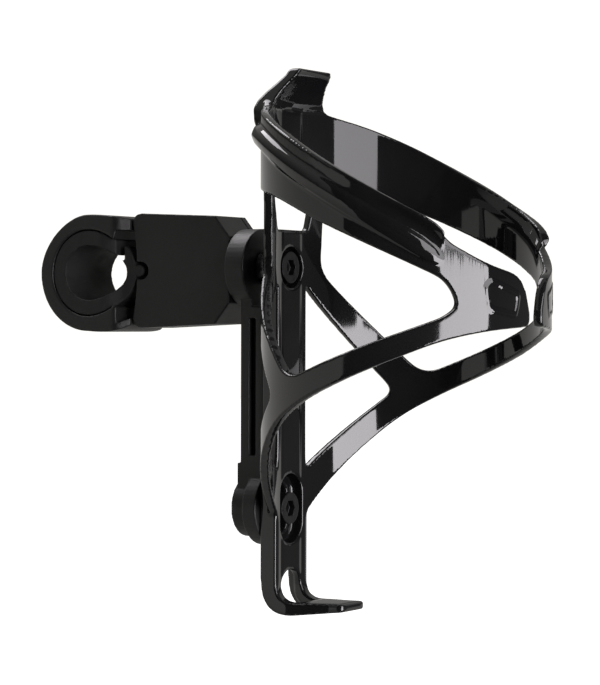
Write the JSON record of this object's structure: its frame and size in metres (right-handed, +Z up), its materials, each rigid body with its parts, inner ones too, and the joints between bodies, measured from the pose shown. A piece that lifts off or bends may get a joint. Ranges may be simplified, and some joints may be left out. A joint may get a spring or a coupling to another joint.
{
  "type": "bottle cage with tube clamp",
  "caption": "Moulded bottle cage hung on a swivelling adapter arm, with a square block and draw band that clamp it to a round handlebar or tube.",
  "frame": {"origin": "on the centre line of the clamped bar, midway across the band", "axes": "+X from the bar towards the bottle, +Y along the bar, +Z up along the bottle's axis"},
  "size_m": [0.1478, 0.081, 0.1438],
  "materials": {
    "gloss_black_plastic": "smooth glossy black moulded plastic",
    "matt_black_plastic": "fine satin black moulded plastic",
    "black_rubber": "matt black rubber",
    "black_steel": "black oxide steel",
    "bright_steel": "zinc plated steel"
  },
  "bodies": {
    "block": {"block_body": "matt_black_plastic", "block_cover": "matt_black_plastic", "cover_screw_1": "black_steel", "cover_screw_2": "black_steel", "cover_screw_3": "black_steel", "cover_screw_4": "black_steel", "friction_disc": "black_rubber"},
    "band": {"clamp_band": "matt_black_plastic", "draw_bar": "bright_steel", "pivot_nut": "bright_steel", "rubber_insert": "black_rubber"},
    "pivot_screw": {"pivot_bolt": "black_steel"},
    "cage_and_arm": {"cage": "gloss_black_plastic", "adapter_arm": "matt_black_plastic", "lower_nut": "bright_steel", "pivot_spacer": "bright_steel"},
    "lower_screw": {"lower_bolt": "black_steel"}
  },
  "joints": [
    {"name": "pivot_bolt_turn", "type": "hinge", "parent": "block", "child": "pivot_screw", "pos_m": [0.0596, 0, 0.0011], "axis": [1, 0, 0], "range_deg": [0, 1710]},
    {"name": "band_draw", "type": "slide", "parent": "block", "child": "band", "axis": [-1, 0, 0], "range_m": [0, 0.0038]},
    {"name": "cage_swivel", "type": "hinge", "parent": "block", "child": "cage_and_arm", "pos_m": [0.0596, 0, 0.0011], "axis": [1, 0, 0], "continuous": true},
    {"name": "lower_bolt_turn", "type": "hinge", "parent": "cage_and_arm", "child": "lower_screw", "pos_m": [0.0596, 0, -0.0629], "axis": [1, 0, 0], "continuous": true}
  ],
  "couplings": [
    {"joint": "pivot_bolt_turn", "follows": "band_draw", "rad_per_m": 7853.9}
  ]
}
